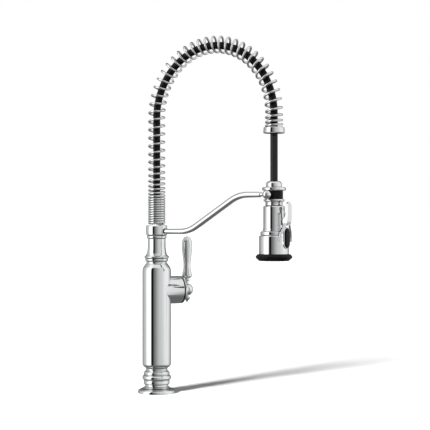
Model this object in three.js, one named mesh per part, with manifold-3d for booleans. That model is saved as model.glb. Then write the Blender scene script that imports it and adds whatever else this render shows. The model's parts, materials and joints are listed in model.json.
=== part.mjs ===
// Pull-down kitchen faucet: a turned column with a side lever, a spring-wrapped hose arch,
// a docking arm and a spray head. Millimetres, +Z up. The origin is the centre of the base
// on the deck, and the spout reaches towards -Y.
import * as THREE from "three";
import { mergeVertices } from "three/addons/utils/BufferGeometryUtils.js";
import Module from "manifold-3d";

const wasm = await Module();
wasm.setup();

// Driving dimensions
const gap = 0.3; // space left between neighbouring pieces
const sides = 20; // facets round a large turned piece
const smallSides = 14; // facets round a small turned piece

const baseRadius = 33.4;
const flangeHeight = 8.4;
const bodyRadius = 25.4;
const bodyBottom = 40.9;
const bodyTop = 232.6;
const swivelHeight = 238.9; // the plane where the spout turns on the body
const neckRadius = 15.9;
const collarBottom = 279.9;
const collarTop = 297.2;
const collarRadius = 18.9;

const archReach = 235; // from the column's axis to the spray head's axis
const archRise = 123; // from the arch's springing to the middle of the hose at its top
const archBase = 487; // height of the arch's springing
const hoseRadius = 6.35;
const springRadius = 13.45; // to the middle of the wire
const wireRadius = 1.95;
const ferruleBottom = 453.9;
const ferruleTop = 464.3;

const valveHeight = 182;
const handleAngle = THREE.MathUtils.degToRad(-34); // the handle's direction from +X
const stubRadius = 24.6;
const stubLength = 45;
const hubDistance = 59.3; // from the column's axis to the handle's ball
const hubRadius = 11.1;
const leverTop = 95.6; // above the ball's centre
const leverTilt = 24; // degrees outwards, fully open
const leverNeckRadius = 3;
const leverFootRadius = 4.6;

const armAngle = THREE.MathUtils.degToRad(-5.5); // the arm's direction from -Y
const armHeight = 287;
const armRise = 63.3;
const armRadius = 4.7;
const armBend = 67.5; // radius of the arm's two bends
const armSlope = THREE.MathUtils.degToRad(31); // of the straight run between them
const armStart = 15.8; // distances along the arm, from the column's axis
const armFirstBend = 52.8;
const armEnd = 220.4;
const dockDistance = 234.6;
const dockRadius = 6.9;

const headSeat = 362.9; // height of the spray head's top
const magnetRingRadius = 15.3;
const barrelRadius = 18.1;
const lowerBarrelRadius = 25.5;
const leverPivot = { out: 24.2, up: 306.3 }; // from the head's axis, and above the deck
const leverHalfWidth = 7; // of the spray lever
const buttonHeight = 277; // the middle of the spray button
const screwHeight = 326;
const screwAngles = [-17, 17].map(THREE.MathUtils.degToRad);
const ribHeight = 306.6;
const ribAngles = [-32, 32].map(THREE.MathUtils.degToRad);

// Materials
const finishes = {
  chrome: { color: 0xd4d6d8, roughness: 0.08, metalness: 1 },
  brass: { color: 0xb5924c, roughness: 0.35, metalness: 1 },
  steel: { color: 0x9a9da0, roughness: 0.3, metalness: 1 },
  blackRubber: { color: 0x141414, roughness: 0.45, metalness: 0 },
  greyHose: { color: 0x2c2c2e, roughness: 0.4, metalness: 0 },
  plastic: { color: 0xdedbd2, roughness: 0.5, metalness: 0 },
  ceramic: { color: 0xe8e6e0, roughness: 0.25, metalness: 0 },
  copper: { color: 0xb06a43, roughness: 0.35, metalness: 1 },
};

const part = new THREE.Group();

function piece(name, geometry, finish, parent = part) {
  const mesh = new THREE.Mesh(geometry, new THREE.MeshStandardMaterial(finishes[finish]));
  mesh.name = name;
  parent.add(mesh);
  return mesh;
}

// Shapes. A profile is a list of [radius, height] that goes up the outside.
function turned(profile, segments = sides) {
  const points = profile.map(([radius, height]) => new THREE.Vector2(radius, height));
  return new THREE.LatheGeometry(points, segments).rotateX(Math.PI / 2);
}

function turnedRing(profile, segments = sides) {
  return turned([...profile, profile[0]], segments);
}

function ring(inner, outer, bottom, top, segments = sides) {
  return turnedRing([[outer, bottom], [outer, top], [inner, top], [inner, bottom]], segments);
}

function rod(radius, bottom, top, segments = smallSides) {
  return turned([[0, bottom], [radius, bottom], [radius, top], [0, top]], segments);
}

function alongX(geometry) {
  return geometry.rotateY(Math.PI / 2);
}

function alongMinusY(geometry) {
  return geometry.rotateX(Math.PI / 2);
}

function tube(path, radius, steps, segments) {
  const corners = Array.from({ length: segments }, (_, i) => {
    const angle = (2 * Math.PI * i) / segments;
    return new THREE.Vector2(radius * Math.cos(angle), radius * Math.sin(angle));
  });
  return new THREE.ExtrudeGeometry(new THREE.Shape(corners), { steps, extrudePath: path });
}

function toSolid(geometry) {
  const loose = geometry.index ? geometry.toNonIndexed() : geometry.clone();
  loose.deleteAttribute("normal");
  loose.deleteAttribute("uv");
  const merged = mergeVertices(loose, 1e-4);
  const mesh = new wasm.Mesh({
    numProp: 3,
    vertProperties: merged.attributes.position.array,
    triVerts: new Uint32Array(merged.index.array),
  });
  return new wasm.Manifold(mesh);
}

function toGeometry(solid) {
  const mesh = solid.getMesh();
  const geometry = new THREE.BufferGeometry();
  geometry.setAttribute("position", new THREE.BufferAttribute(mesh.vertProperties, 3));
  geometry.setIndex(new THREE.BufferAttribute(mesh.triVerts, 1));
  return geometry;
}

function cut(geometry, ...cutters) {
  return toGeometry(cutters.reduce((solid, c) => solid.subtract(toSolid(c)), toSolid(geometry)));
}

function join(geometry, ...others) {
  return toGeometry(others.reduce((solid, o) => solid.add(toSolid(o)), toSolid(geometry)));
}

// An upright oval prism that runs out along -Y: halfWidth across, halfHeight up and down.
function oval(halfWidth, halfHeight, from, to, segments = 4) {
  const straight = halfHeight - halfWidth;
  const outline = new THREE.Shape();
  outline.absarc(0, straight, halfWidth, 0, Math.PI);
  outline.absarc(0, -straight, halfWidth, Math.PI, 2 * Math.PI);
  outline.closePath();
  const prism = new THREE.ExtrudeGeometry(outline, {
    depth: to - from,
    bevelEnabled: false,
    curveSegments: segments,
  });
  return prism.rotateX(Math.PI / 2).translate(0, -from, 0);
}

// Base: the gasket, the flange, the turned pedestal and the stud that holds them down.
function buildBase() {
  piece("deck_gasket", ring(25, 31, 0, 2), "blackRubber");
  piece(
    "base_flange",
    turnedRing([
      [baseRadius, 0],
      [baseRadius, 2.8],
      [baseRadius - 1, 4.8],
      [baseRadius - 4, 7.2],
      [baseRadius - 8.6, flangeHeight],
      [17.3, flangeHeight],
      [17.3, 0],
      [25 - gap, 0],
      [25 - gap, 2 + gap],
      [31 + gap, 2 + gap],
      [31 + gap, 0],
    ]),
    "chrome",
  );
  piece(
    "pedestal",
    turnedRing([
      [17, 2.6],
      [17, flangeHeight + gap],
      [24.4, flangeHeight + gap],
      [22.2, 10.4],
      [21.4, 13.5],
      [22, 16.3],
      [23.7, 17.8],
      [23.8, 20.2],
      [23.3, 21.4],
      [23.6, 22.9],
      [25.2, 24.4],
      [25.2, 27.4],
      [23.8, 30],
      [23.5, 33.6],
      [21.4, 36.4],
      [19.4, 38.4],
      [19.2, bodyBottom - gap],
      [15, bodyBottom - gap],
      [15, 2.6],
    ]),
    "chrome",
  );
  piece("mounting_stud", rod(3.6, 0, 62, 16), "steel");
}

// Body: one shell with the valve's stub on its side, bored through for the waterway.
function buildBody() {
  const outside = turned([
    [0, bodyBottom],
    [19.2, bodyBottom],
    [19.3, 43.4],
    [21.6, 45.4],
    [24, 47.6],
    [25.2, 50.4],
    [bodyRadius, 53],
    [bodyRadius, 215],
    [25, 219.6],
    [23.6, 224],
    [21.4, 227.4],
    [19.2, 229.6],
    [18.2, bodyTop],
    [0, bodyTop],
  ]);
  const cavity = turned([
    [0, bodyBottom - 1],
    [15, bodyBottom - 1],
    [15, 48],
    [21.4, 56],
    [21.4, 212],
    [16.4, 220],
    [16.4, bodyTop + 1],
    [0, bodyTop + 1],
  ]);
  const toHandle = (geometry) =>
    alongX(geometry).rotateZ(handleAngle).translate(0, 0, valveHeight);
  const stub = toHandle(
    turned([
      [0, 0],
      [stubRadius, 0],
      [stubRadius, stubLength - 1],
      [stubRadius - 0.8, stubLength],
      [0, stubLength],
    ]),
  );
  const stubBore = toHandle(rod(19, 8, stubLength + 1, sides));
  const joined = join(outside, stub);
  piece("body_shell", cut(joined, cavity, stubBore), "chrome");
  piece(
    "shoulder_ring",
    turnedRing([
      [17.6, bodyTop + gap],
      [19.4, 234],
      [20.2, 235.8],
      [20.3, swivelHeight - 0.4],
      [15.4, swivelHeight - 0.4],
      [15.4, bodyTop + gap],
    ]),
    "chrome",
  );
  piece("swivel_bushing", ring(15, 16.1, 221, bodyTop - gap), "plastic");
}

// Waterway inside the body, up to the swivel.
function buildWaterway() {
  const tubeTop = 158.7;
  const ports = { hot_inlet_tube: [-9.4, 0], cold_inlet_tube: [9.4, 0] };
  for (const [name, [x, y]] of Object.entries(ports)) {
    piece(name, ring(3, 4.2, 0.6, tubeTop, 16).translate(x, y, 0), "copper");
  }
  const block = rod(17.6, 159, 205, sides);
  const cartridgeSeat = alongX(rod(17.6, 14, 30, sides))
    .rotateZ(handleAngle)
    .translate(0, 0, valveHeight);
  piece("valve_manifold", cut(block, cartridgeSeat), "brass");
  piece("outlet_tube", ring(3.6, 5, 205.3, 213.4, 16), "brass");
}

// The valve's cartridge and its nut, in the stub, seen in a frame whose +X is the stub's axis.
function buildCartridge(handle) {
  piece(
    "ceramic_cartridge",
    alongX(
      turned([
        [0, 14.4],
        [17, 14.4],
        [17, 35],
        [8.6, 35],
        [8.6, 38.6],
        [0, 38.6],
      ]),
    ),
    "ceramic",
    handle,
  );
  piece("cartridge_nut", alongX(ring(9, 18.6, 35.3, 43.2)), "brass", handle);
}

// The bonnet, stem, ball and finial turn about the stub's axis for the temperature.
function buildBonnet(handle) {
  const cone = turnedRing([
    [22.6, stubLength + gap],
    [22.6, 46.2],
    [24.4, 46.4],
    [23.6, 47.4],
    [13.4, 53],
    [11, 56.2],
    [6, 56.2],
    [6, stubLength + gap],
  ]);
  const socket = new THREE.SphereGeometry(hubRadius + 0.35, smallSides, 12).translate(0, 0, hubDistance);
  piece("bonnet", alongX(cut(cone, socket)), "chrome", handle);
  piece("cartridge_stem", alongX(rod(4, 39, 47.2, 12)), "steel", handle);
}

function buildHub(hub) {
  const ball = new THREE.SphereGeometry(hubRadius, smallSides, 12).rotateX(Math.PI / 2);
  const hollow = new THREE.SphereGeometry(leverFootRadius + 0.5, 12, 8);
  const slot = [0, 8, 16, leverTilt + 2].map((degrees) =>
    rod(leverNeckRadius + 0.6, 2, 13, 12).rotateY(THREE.MathUtils.degToRad(degrees)),
  );
  const screwHole = alongX(rod(2.2, 7.4, 12, 12));
  const finialHole = rod(2.2, -12, -6.4, 12);
  const pinHole = alongMinusY(rod(1.5, -12, 12, 12));
  piece("lever_hub", cut(ball, hollow, ...slot, screwHole, finialHole, pinHole), "chrome", hub);
  piece("hub_set_screw", alongX(rod(1.9, 7.7, 10.6, 12)), "steel", hub);
  piece("hub_pivot_pin", alongMinusY(rod(1.2, -10.6, 10.6, 12)), "steel", hub);
  piece(
    "lever_finial",
    turned(
      [
        [0, -22.4],
        [1.6, -21.6],
        [3.4, -18.2],
        [5.6, -15.8],
        [5.6, -14.4],
        [3.4, -13],
        [3.2, -11.8],
        [1.9, -11.6],
        [1.9, -6.8],
        [0, -6.8],
      ],
      12,
    ),
    "chrome",
    hub,
  );
}

// The lever tilts outwards on the ball's pin for the flow.
function buildLever(hub) {
  const handleShape = turned(
    [
      [0, 3],
      [leverNeckRadius, 3],
      [leverNeckRadius, 15.4],
      [4.8, 16.2],
      [4.8, 18.4],
      [3.6, 19.4],
      [4.4, 20.6],
      [8.2, 22.6],
      [9, 25.4],
      [7.6, 31],
      [6.5, 40],
      [6.7, 50],
      [8.2, 63],
      [9.4, 77],
      [9, 84.6],
      [6.8, 91.4],
      [3.4, 94.8],
      [0, leverTop],
    ],
    smallSides,
  );
  const foot = new THREE.SphereGeometry(leverFootRadius, 12, 8);
  const pinHole = alongMinusY(rod(1.5, -12, 12, 12));
  piece("lever_handle", cut(join(handleShape, foot), pinHole), "chrome", hub);
}

// Neck: the turning column above the body, with its seals, rings and docking collar.
function buildNeck() {
  const tubeShape = turnedRing([
    [14.6, 214.6],
    [14.6, swivelHeight + 0.2],
    [20.8, swivelHeight + 0.2],
    [21.9, 240.8],
    [21.9, 242.4],
    [20.4, 244.2],
    [18.2, 245.6],
    [17, 250],
    [neckRadius, 258],
    [neckRadius, 273.8],
    [14.6, 273.8],
    [14.6, collarTop],
    [10.6, collarTop],
    [10.6, 214.6],
  ]);
  const sealHeights = [222.6, 227.6];
  const grooves = sealHeights.map((height) => ring(12.8, 15.5, height, height + 2.8));
  piece("neck_tube", cut(tubeShape, ...grooves), "chrome");
  sealHeights.forEach((height, index) =>
    piece(
      `swivel_o_ring_${index + 1}`,
      ring(13.1, 14.7, height + gap, height + 2.5),
      "blackRubber",
    ),
  );
  piece("swivel_retainer", ring(14.9, 16, 215, 217), "steel");
  piece(
    "lower_collar_ring",
    turnedRing([
      [16.6, 274.1],
      [17.6, 275.2],
      [17.6, 278.5],
      [16.6, collarBottom - gap],
      [14.9, collarBottom - gap],
      [14.9, 274.1],
    ]),
    "chrome",
  );
}

// Arm: a collar socket, an S-shaped tube and the ball that holds the spray head by a magnet.
function buildArm() {
  const arm = new THREE.Group();
  arm.rotation.z = armAngle;
  part.add(arm);
  const collar = turnedRing([
    [collarRadius - 0.9, collarBottom],
    [collarRadius, collarBottom + 1.6],
    [collarRadius + 0.15, (collarBottom + collarTop) / 2],
    [collarRadius, collarTop - 1.6],
    [collarRadius - 0.9, collarTop],
    [14.9, collarTop],
    [14.9, collarBottom],
  ]);
  const socket = alongMinusY(rod(armRadius + gap, armStart - 0.4, 25)).translate(0, 0, armHeight);
  const screwHole = alongMinusY(rod(2.3, 14, 25, 12)).rotateZ(Math.PI).translate(0, 0, armHeight);
  piece("dock_collar", cut(collar, socket, screwHole), "chrome", arm);
  piece(
    "collar_set_screw",
    alongMinusY(rod(2, 15.2, 18.4, 12)).rotateZ(Math.PI).translate(0, 0, armHeight),
    "steel",
    arm,
  );

  // The S is two equal arcs with a straight run between them, level at both ends.
  const rampRise = armRise - 2 * armBend * (1 - Math.cos(armSlope));
  const rampRun = rampRise / Math.tan(armSlope);
  const lastBend = armFirstBend + 2 * armBend * Math.sin(armSlope) + rampRun;
  const route = [];
  const point = (out, up) => route.push(new THREE.Vector3(0, -out, up));
  point(armStart, armHeight);
  point((armStart + armFirstBend) / 2, armHeight);
  for (let i = 0; i <= 4; i++) {
    const turn = (armSlope * i) / 4;
    point(armFirstBend + armBend * Math.sin(turn), armHeight + armBend * (1 - Math.cos(turn)));
  }
  for (let i = 4; i >= 0; i--) {
    const turn = (armSlope * i) / 4;
    const up = armHeight + armRise - armBend * (1 - Math.cos(turn));
    point(lastBend - armBend * Math.sin(turn), up);
  }
  point(armEnd, armHeight + armRise);
  const path = new THREE.CatmullRomCurve3(route, false, "centripetal");
  piece("support_arm", tube(path, armRadius, 24, 10), "chrome", arm);

  const dock = new THREE.Group();
  dock.position.set(0, -dockDistance, armHeight + armRise);
  arm.add(dock);
  const neckLength = dockDistance - armEnd;
  const ball = join(
    new THREE.SphereGeometry(dockRadius, smallSides, 10),
    rod(2.7, dockRadius - 1, neckLength - gap, 12).rotateX(-Math.PI / 2),
  );
  // The magnet sits in a bore that faces the spray head.
  const facing = magnetDirection();
  const place = (geometry) => alongMinusY(geometry).rotateZ(facing);
  const bore = place(rod(3.6, 1.4, 9, smallSides));
  piece("dock_ball", cut(ball, bore), "chrome", dock);
  piece("dock_magnet", place(rod(3.3, 1.7, 5.6, smallSides)), "steel", dock);
}

// The turn from the arm's own direction to the line from the dock's ball to the head's axis.
function magnetDirection() {
  const ball = new THREE.Vector2(
    dockDistance * Math.sin(armAngle),
    -dockDistance * Math.cos(armAngle),
  );
  const toHead = new THREE.Vector2(0, -archReach).sub(ball);
  return Math.atan2(toHead.x, -toHead.y) - armAngle;
}

// The middle of the hose: up the column, over the arch and down to the spray head.
class ArchPath extends THREE.Curve {
  constructor(start, end) {
    super();
    this.start = start; // height on the column
    this.end = end; // height above the spray head
    this.halfReach = archReach / 2;
    const steps = 400;
    this.lengths = [0];
    for (let i = 1; i <= steps; i++) {
      const a = this.onArch((Math.PI * (i - 1)) / steps);
      const b = this.onArch((Math.PI * i) / steps);
      this.lengths.push(this.lengths[i - 1] + a.distanceTo(b));
    }
    this.archLength = this.lengths[steps];
    this.rise = archBase - start;
    this.total = this.rise + this.archLength + (archBase - end);
    this.arcLengthDivisions = 600;
  }
  onArch(angle) {
    const y = -this.halfReach * (1 - Math.cos(angle));
    return new THREE.Vector3(0, y, archBase + archRise * Math.sin(angle));
  }
  // The point, and the direction outwards from the arch, at a distance along the path.
  at(distance) {
    if (distance <= this.rise) {
      const point = new THREE.Vector3(0, 0, this.start + distance);
      return { point, outward: new THREE.Vector3(0, 1, 0), turn: 0 };
    }
    const along = distance - this.rise;
    if (along >= this.archLength) {
      const point = new THREE.Vector3(0, -archReach, archBase - (along - this.archLength));
      return { point, outward: new THREE.Vector3(0, -1, 0), turn: Math.PI };
    }
    const last = this.lengths.length - 1;
    let i = 1;
    while (this.lengths[i] < along) i++;
    const part = (along - this.lengths[i - 1]) / (this.lengths[i] - this.lengths[i - 1]);
    const turn = (Math.PI * (i - 1 + part)) / last;
    const tangent = new THREE.Vector3(
      0,
      -this.halfReach * Math.sin(turn),
      archRise * Math.cos(turn),
    ).normalize();
    const outward = new THREE.Vector3(0, tangent.z, -tangent.y);
    return { point: this.onArch(turn), outward, turn };
  }
  getPoint(t, target = new THREE.Vector3()) {
    return target.copy(this.at(t * this.total).point);
  }
}

// The spring's pitch: closed at its foot, opening up the column, tighter at the top of the
// arch than at its sides, and closing again in the ferrule.
const springPhase = THREE.MathUtils.degToRad(219.5);
const closedPitch = 4.15;
const openPitch = 14.7;
const archPitch = { mean: 13.9, swing: 0.7 };
const endPitch = 4.2;
const closedUntil = 342;
const openFrom = 445;
const closingLength = 44.5;

function springPitch(distance, spine) {
  const height = spine.start + distance;
  if (height < closedUntil) return closedPitch;
  if (height < openFrom) {
    const share = (height - closedUntil) / (openFrom - closedUntil);
    return closedPitch + (openPitch - closedPitch) * Math.sin((Math.PI / 2) * share);
  }
  const { turn } = spine.at(distance);
  const open = archPitch.mean + archPitch.swing * Math.cos(2 * turn);
  const left = (spine.total - distance) / closingLength;
  return left < 1 ? endPitch + (open - endPitch) * left : open;
}

class SpringPath extends THREE.Curve {
  constructor(start, end, phase) {
    super();
    this.spine = new ArchPath(start, end);
    this.phase = phase;
    this.turns = [0];
    this.step = 1;
    const count = Math.ceil(this.spine.total / this.step);
    this.step = this.spine.total / count;
    for (let i = 0; i < count; i++) {
      const pitch = springPitch((i + 0.5) * this.step, this.spine);
      this.turns.push(this.turns[i] + this.step / pitch);
    }
    this.turnCount = this.turns[count];
    this.arcLengthDivisions = 6000;
  }
  getPoint(t, target = new THREE.Vector3()) {
    const turn = t * this.turnCount;
    let low = 0;
    let high = this.turns.length - 1;
    while (high - low > 1) {
      const middle = (low + high) >> 1;
      if (this.turns[middle] <= turn) low = middle;
      else high = middle;
    }
    const share = (turn - this.turns[low]) / (this.turns[high] - this.turns[low]);
    const { point, outward } = this.spine.at((low + share) * this.step);
    const angle = this.phase + 2 * Math.PI * turn;
    target.copy(point).addScaledVector(outward, springRadius * Math.cos(angle));
    target.x -= springRadius * Math.sin(angle);
    return target;
  }
}

// Arch: the hose, the spring round it, the guide in its foot and the ferrule at its end.
function buildArch() {
  piece("spring_guide", ring(7, 9.4, collarTop + gap, 338, smallSides), "plastic");
  piece("hose_inlet_fitting", ring(3.6, 8.4, 214.6, 224, 16), "brass");
  const hose = new ArchPath(224.3, ferruleBottom - 0.5);
  piece("arch_hose", tube(hose, hoseRadius, 40, 10), "greyHose");
  const spring = new SpringPath(collarTop + 2.4, ferruleBottom + 6.2, springPhase);
  const steps = Math.round(spring.turnCount * 8);
  piece("arch_spring", tube(spring, wireRadius, steps, 4), "chrome");
  piece(
    "spring_ferrule",
    turnedRing([
      [17, ferruleBottom],
      [18.1, ferruleBottom + 1.4],
      [17.9, ferruleBottom + 5],
      [17.5, ferruleTop - 0.6],
      [17, ferruleTop],
      [16.1, ferruleTop],
      [16.1, ferruleBottom + 3.6],
      [9.2, ferruleBottom + 3.6],
      [9.2, ferruleBottom],
    ]).translate(0, -archReach, 0),
    "chrome",
  );
  const bushing = ring(6.8, 8.9, ferruleBottom + 0.2, ferruleBottom + 4.4, smallSides);
  piece("hose_bushing", bushing.translate(0, -archReach, 0), "blackRubber");
}

// What hangs on the hose and does not turn with the head.
function buildHoseEnd() {
  const end = new THREE.Group();
  end.position.y = -archReach;
  part.add(end);
  piece("drop_hose", rod(hoseRadius, 364.6, ferruleBottom - 0.8, 12), "greyHose", end);
  piece(
    "hose_nut",
    turnedRing([
      [13.6, headSeat + gap],
      [13.2, 366.6],
      [13, 369.8],
      [11.6, 372.2],
      [8, 373.4],
      [6.7, 373.4],
      [6.7, headSeat + gap],
    ]),
    "chrome",
    end,
  );
  piece("hose_nipple", ring(3.4, 8, 346, headSeat, 16), "brass", end);
}

// Spray head, in a frame on its own axis whose -Y is the side with the lever and button.
function buildHeadShells(head) {
  piece(
    "head_top_flange",
    turnedRing([
      [19, 357.3],
      [20.1, 358.4],
      [20.1, 361.6],
      [19.2, headSeat - 0.2],
      [9, headSeat - 0.2],
      [9, 357.3],
    ]),
    "chrome",
    head,
  );
  piece("magnet_ring", ring(12.6, magnetRingRadius, 342.9, 357), "blackRubber", head);
  piece(
    "head_neck",
    turnedRing([
      [13.6, 331.4],
      [14.7, 332.4],
      [14.7, 335.6],
      [13.9, 336.2],
      [14.7, 336.8],
      [14.9, 338.4],
      [17.4, 339.6],
      [17.6, 341.8],
      [17, 342.6],
      [12.6, 342.6],
      [12.6, 331.4],
    ]),
    "chrome",
    head,
  );
  piece("head_core", ring(9, 12.2, 300, 356.6, smallSides), "plastic", head);
  const housingSpace = oval(10.3, 18.8, 10, 40).translate(0, 0, buttonHeight);
  const ear = new THREE.BoxGeometry(6, 10.6, 10).translate(0, -21.3, 305.6);
  const pinHole = alongX(rod(1.9, -12, 12, 12)).translate(0, -leverPivot.out, leverPivot.up);
  const screwHoles = screwAngles.map((angle) => headScrew(3, 14, 20, angle));
  const barrel = turnedRing([
    [19.6, 288.6],
    [19.4, 290],
    [18.4, 293],
    [barrelRadius, 297],
    [barrelRadius, 329.8],
    [17.2, 331.1],
    [12.6, 331.1],
    [12.6, 328],
    [15.4, 325],
    [15.4, 288.6],
  ]);
  const barrelWithEar = join(barrel, ear);
  piece(
    "head_barrel",
    cut(barrelWithEar, rod(15.2, 292, 320), pinHole, housingSpace, ...screwHoles),
    "chrome",
    head,
  );
  piece("step_ring", cut(ring(16, 22.3, 281.7, 288.3), housingSpace), "chrome", head);
  const lowerBarrel = turnedRing([
    [lowerBarrelRadius, 249.9],
    [lowerBarrelRadius, 280],
    [24.4, 281.4],
    [16, 281.4],
    [16, 278.6],
    [22.4, 276],
    [22.4, 249.9],
  ]);
  piece("lower_barrel", cut(lowerBarrel, housingSpace), "chrome", head);
  piece(
    "nozzle_ring",
    turnedRing([
      [25.6, 238.3],
      [26.4, 239],
      [31, 243.6],
      [31.3, 245.6],
      [29.6, 248],
      [27.9, 249.6],
      [22.4, 249.6],
      [22.4, 238.3],
    ]),
    "blackRubber",
    head,
  );
}

// Screws in the barrel, either side of the lever.
function headScrew(radius, from, to, angle) {
  return alongMinusY(rod(radius, from, to, 12)).translate(0, 0, screwHeight).rotateZ(angle);
}

function buildHeadInside(head) {
  piece("spray_face", ring(7.2, 22.1, 240, 243.4), "blackRubber", head);
  piece("stream_aerator", ring(2.4, 6.9, 239.4, 247, 16), "steel", head);
  const housingSpace = oval(10.4, 18.8, 12, 40).translate(0, 0, buttonHeight);
  piece("diverter_body", cut(ring(7.2, 18, 249.2, 272), housingSpace), "plastic", head);
  piece("check_valve", ring(2.6, 8.7, 318, 334, 16), "plastic", head);
}

// Lever: a thumb paddle above a pin, and two legs that straddle the button below it.
function buildSprayLever(head) {
  const outline = new THREE.Shape(
    [
      [28.4, 337.6],
      [30, 337.2],
      [30.9, 328],
      [30.9, 314],
      [30.3, 304],
      [27.8, 298.4],
      [24.4, 297.6],
      [22.2, 300.8],
      [21.8, 306.4],
      [22.8, 309.4],
      [26, 311.4],
      [28.2, 316],
      [28.7, 328],
    ].map(([out, up]) => new THREE.Vector2(out, up)),
  );
  const slab = new THREE.ExtrudeGeometry(outline, {
    depth: 2 * leverHalfWidth,
    bevelEnabled: false,
  });
  // The outline is drawn as (out, up): turn it so that out is -Y, up is Z and depth runs along X.
  const turn = new THREE.Matrix4().makeBasis(
    new THREE.Vector3(0, -1, 0),
    new THREE.Vector3(0, 0, 1),
    new THREE.Vector3(-1, 0, 0),
  );
  slab.applyMatrix4(turn).translate(leverHalfWidth, 0, 0);
  const slot = new THREE.BoxGeometry(6.8, 9.1, 20).translate(0, -23.65, 304);
  const pinHole = alongX(rod(1.8, -12, 12, 12)).translate(0, -leverPivot.out, leverPivot.up);
  const legs = [-1, 1].map((side) => {
    const route = [
      [5.2, 26.4, 302],
      [8.4, 26, 296.6],
      [12.6, 24.8, 289.2],
      [16.2, 23.4, 282],
      [17.8, 22.9, 276.4],
      [17.9, 22.8, 270.4],
    ].map(([across, out, up]) => new THREE.Vector3(side * across, -out, up));
    return tube(new THREE.CatmullRomCurve3(route), 1.8, 10, 8);
  });
  const lever = cut(join(slab, ...legs), slot, pinHole);
  piece("spray_lever", lever, "chrome", head);
  const pin = alongX(rod(1.5, -6.8, 6.8, 12)).translate(0, -leverPivot.out, leverPivot.up);
  piece("lever_pin", pin, "steel", head);
}

function buildButton(head) {
  const button = new THREE.Group();
  button.position.z = buttonHeight;
  head.add(button);
  const housing = cut(oval(10, 18.5, 19.8, 25.9), oval(8.7, 17, 21.8, 30), oval(4.6, 6, 10, 30));
  piece("button_housing", housing, "chrome", button);
  const face = join(oval(8.3, 16.4, 24.6, 26.6), oval(6.8, 14.9, 26, 28));
  piece("spray_button", face, "blackRubber", button);
  piece("button_spring", alongMinusY(ring(2.4, 3.8, 20, 24.2, 16)), "steel", button);
}

function buildHeadTrim(head) {
  screwAngles.forEach((angle, index) =>
    piece(`barrel_screw_${index + 1}`, headScrew(2.6, 15.8, 18.6, angle), "steel", head),
  );
  ribAngles.forEach((angle, index) => {
    const barrelSpace = rod(barrelRadius + gap, -20, 20, 60);
    const rib = cut(oval(2.5, 12, 12, 20.4), barrelSpace).translate(0, 0, ribHeight).rotateZ(angle);
    piece(`barrel_rib_${index + 1}`, rib, "chrome", head);
  });
}

buildBase();
buildBody();
buildWaterway();
const handle = new THREE.Group();
handle.position.z = valveHeight;
handle.rotation.z = handleAngle;
part.add(handle);
buildCartridge(handle);
buildBonnet(handle);
const hub = new THREE.Group();
hub.position.x = hubDistance;
handle.add(hub);
buildHub(hub);
buildLever(hub);
buildNeck();
buildArm();
buildArch();
buildHoseEnd();
const head = new THREE.Group();
head.position.y = -archReach;
head.rotation.z = armAngle;
part.add(head);
buildHeadShells(head);
buildHeadInside(head);
buildSprayLever(head);
buildButton(head);
buildHeadTrim(head);

export default part;
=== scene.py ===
import json
import math

import bmesh
import bpy
from mathutils import Matrix, Vector


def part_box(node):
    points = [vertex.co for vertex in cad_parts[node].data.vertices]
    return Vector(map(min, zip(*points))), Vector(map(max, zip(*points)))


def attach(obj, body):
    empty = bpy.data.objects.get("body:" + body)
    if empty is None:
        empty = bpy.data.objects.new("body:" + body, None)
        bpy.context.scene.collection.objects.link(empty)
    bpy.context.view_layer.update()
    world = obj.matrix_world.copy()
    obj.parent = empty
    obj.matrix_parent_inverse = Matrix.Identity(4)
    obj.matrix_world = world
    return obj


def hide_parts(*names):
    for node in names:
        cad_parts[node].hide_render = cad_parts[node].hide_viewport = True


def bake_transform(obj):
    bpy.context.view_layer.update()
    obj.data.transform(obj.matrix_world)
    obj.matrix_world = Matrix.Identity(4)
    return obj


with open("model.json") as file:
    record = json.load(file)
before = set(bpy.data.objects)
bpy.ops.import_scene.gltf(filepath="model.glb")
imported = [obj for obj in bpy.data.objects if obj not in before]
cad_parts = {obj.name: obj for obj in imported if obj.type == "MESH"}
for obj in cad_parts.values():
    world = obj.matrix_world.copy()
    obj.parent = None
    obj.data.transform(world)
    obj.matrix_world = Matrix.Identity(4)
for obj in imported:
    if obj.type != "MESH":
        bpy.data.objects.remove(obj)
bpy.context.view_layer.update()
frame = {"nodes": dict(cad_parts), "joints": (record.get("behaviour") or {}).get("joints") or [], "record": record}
joints = {joint["name"]: joint for joint in frame["joints"]}
mm = 0.001


# Camera
cameraSettings = {"heading": -60, "distance": 2.367, "height": 0.3159, "aside": 0.1037, "lens": 111.35}


def makeCamera():
    turn = math.radians(cameraSettings["heading"])
    ahead = Vector((-math.sin(turn), math.cos(turn), 0))
    right = Vector((math.cos(turn), math.sin(turn), 0))
    data = bpy.data.cameras.new("camera")
    data.lens = cameraSettings["lens"]
    data.sensor_width = 36
    camera = bpy.data.objects.new("camera", data)
    bpy.context.scene.collection.objects.link(camera)
    camera.location = right * cameraSettings["aside"] - ahead * cameraSettings["distance"]
    camera.location.z = cameraSettings["height"]
    camera.rotation_euler = (math.radians(90), 0, turn)
    bpy.context.scene.camera = camera


makeCamera()
print("camera made")


# Shader node groups, shared by the finishes
def newGroup(name, inputs, outputs):
    group = bpy.data.node_groups.new(name, "ShaderNodeTree")
    for socketName, kind, value in inputs:
        socket = group.interface.new_socket(socketName, in_out="INPUT", socket_type=kind)
        socket.default_value = value
    for socketName, kind in outputs:
        group.interface.new_socket(socketName, in_out="OUTPUT", socket_type=kind)
    return group, group.nodes.new("NodeGroupInput"), group.nodes.new("NodeGroupOutput")


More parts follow.
